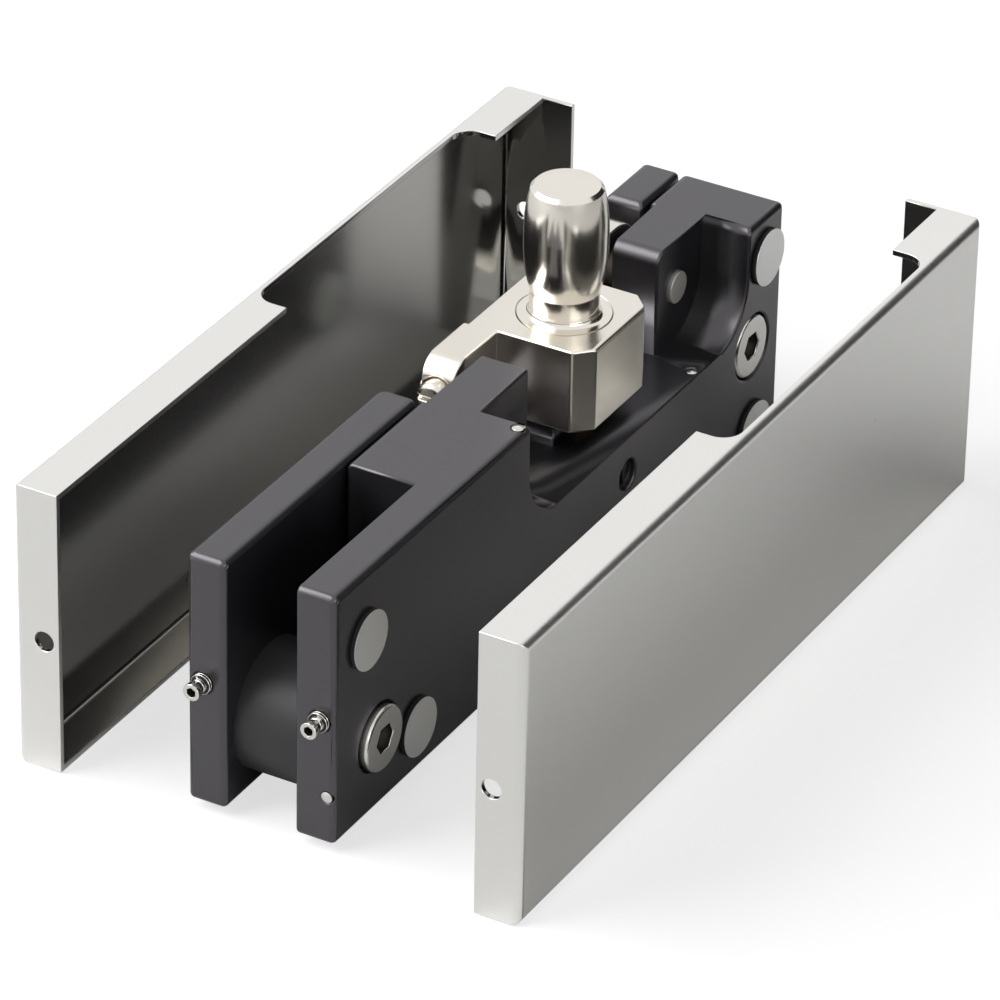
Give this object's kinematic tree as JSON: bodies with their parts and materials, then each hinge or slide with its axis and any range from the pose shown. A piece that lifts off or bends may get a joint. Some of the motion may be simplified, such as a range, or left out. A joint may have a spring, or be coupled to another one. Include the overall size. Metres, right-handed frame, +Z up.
{
  "type": "self-closing patch fitting",
  "caption": "Clamp-on patch fitting for a glass door leaf with a hydraulic self-closing barrel pivot, shown with its folded cover plates pulled off.",
  "frame": {"origin": "bottom centre of the fitting's bounding box, midway between the two pulled-off covers; the clamp body stands 1.5 mm higher and 2.6 mm toward +Y", "axes": "+X along the fitting from the open glass end to the pivot end, +Y across the door toward the clamp plate, +Z up along the pivot axis"},
  "size_m": [0.1758, 0.1036, 0.0797],
  "materials": {
    "black_body": "satin black anodised",
    "nickel": "satin nickel plated",
    "cover_steel": "satin, lightly brushed along the length",
    "bright_steel": "machined, bright zinc plated",
    "spring_steel": "drawn wire, oiled",
    "dark_steel": "blackened",
    "bronze": "plain bearing bronze",
    "seal_rubber": "matt black",
    "pad_foam": "closed-cell foam, black",
    "pad_film": "matt pale grey",
    "black_plastic": "moulded, satin black"
  },
  "bodies": {
    "body": {"main_body": "black_body", "clamp_plate": "black_body", "pivot_carrier": "nickel", "carrier_bush": "bronze", "housing_bush": "bronze", "shaft_seal": "seal_rubber", "bottom_bearing": "bronze", "near_return_spring": "spring_steel", "far_return_spring": "spring_steel", "end_plug": "dark_steel", "plug_seal": "seal_rubber", "oil_plugs": "bright_steel", "stop_pin": "bright_steel", "nose_screw": "nickel", "near_clamp_screw": "bright_steel", "far_clamp_screw": "bright_steel", "glass_bush": "black_plastic", "left_pads": "pad_foam", "right_pads": "pad_foam", "left_pad_films": "pad_film", "right_pad_films": "pad_film"},
    "spindle": {"pivot_spindle": "nickel"},
    "piston": {"rack_piston": "bright_steel", "piston_seals": "seal_rubber"},
    "valve": {"speed_valve": "dark_steel"},
    "left_cover": {"left_cover": "cover_steel"},
    "right_cover": {"right_cover": "cover_steel"},
    "left_near_lock": {"left_near_lock_screw": "bright_steel"},
    "left_far_lock": {"left_far_lock_screw": "bright_steel"},
    "right_near_lock": {"right_near_lock_screw": "bright_steel"},
    "right_far_lock": {"right_far_lock_screw": "bright_steel"}
  },
  "joints": [
    {"name": "spindle_turn", "type": "hinge", "parent": "body", "child": "spindle", "pos_m": [0.0247, 0.0026, 0.053], "axis": [0, 0, 1], "range_deg": [-90, 90]},
    {"name": "piston_slide", "type": "slide", "parent": "body", "child": "piston", "axis": [1, 0, 0], "range_m": [-0.00691, 0.00691], "stiffness_N_per_m": 300, "deforming": ["near_return_spring", "far_return_spring"]},
    {"name": "valve_turn", "type": "hinge", "parent": "body", "child": "valve", "pos_m": [0.0231, -0.0094, 0.0233], "axis": [0, 1, 0], "range_deg": [-180, 180]},
    {"name": "left_cover_slide", "type": "slide", "parent": "body", "child": "left_cover", "axis": [0, -1, 0], "range_m": [0, 0.0311]},
    {"name": "right_cover_slide", "type": "slide", "parent": "body", "child": "right_cover", "axis": [0, 1, 0], "range_m": [0, 0.0363]},
    {"name": "left_near_lock_turn_in", "type": "slide", "parent": "body", "child": "left_near_lock", "axis": [1, 0, 0], "range_m": [0, 0.0026]},
    {"name": "left_far_lock_turn_out", "type": "slide", "parent": "body", "child": "left_far_lock", "axis": [1, 0, 0], "range_m": [0, 0.003]},
    {"name": "right_near_lock_turn_in", "type": "slide", "parent": "body", "child": "right_near_lock", "axis": [1, 0, 0], "range_m": [0, 0.0026]},
    {"name": "right_far_lock_turn_out", "type": "slide", "parent": "body", "child": "right_far_lock", "axis": [1, 0, 0], "range_m": [0, 0.003]}
  ],
  "couplings": [
    {"joint": "spindle_turn", "follows": "piston_slide", "rad_per_m": 227.27},
    {"joint": "left_near_lock_turn_in", "follows": "left_cover_slide", "ratio": 0.0836},
    {"joint": "right_near_lock_turn_in", "follows": "right_cover_slide", "ratio": 0.07162}
  ]
}
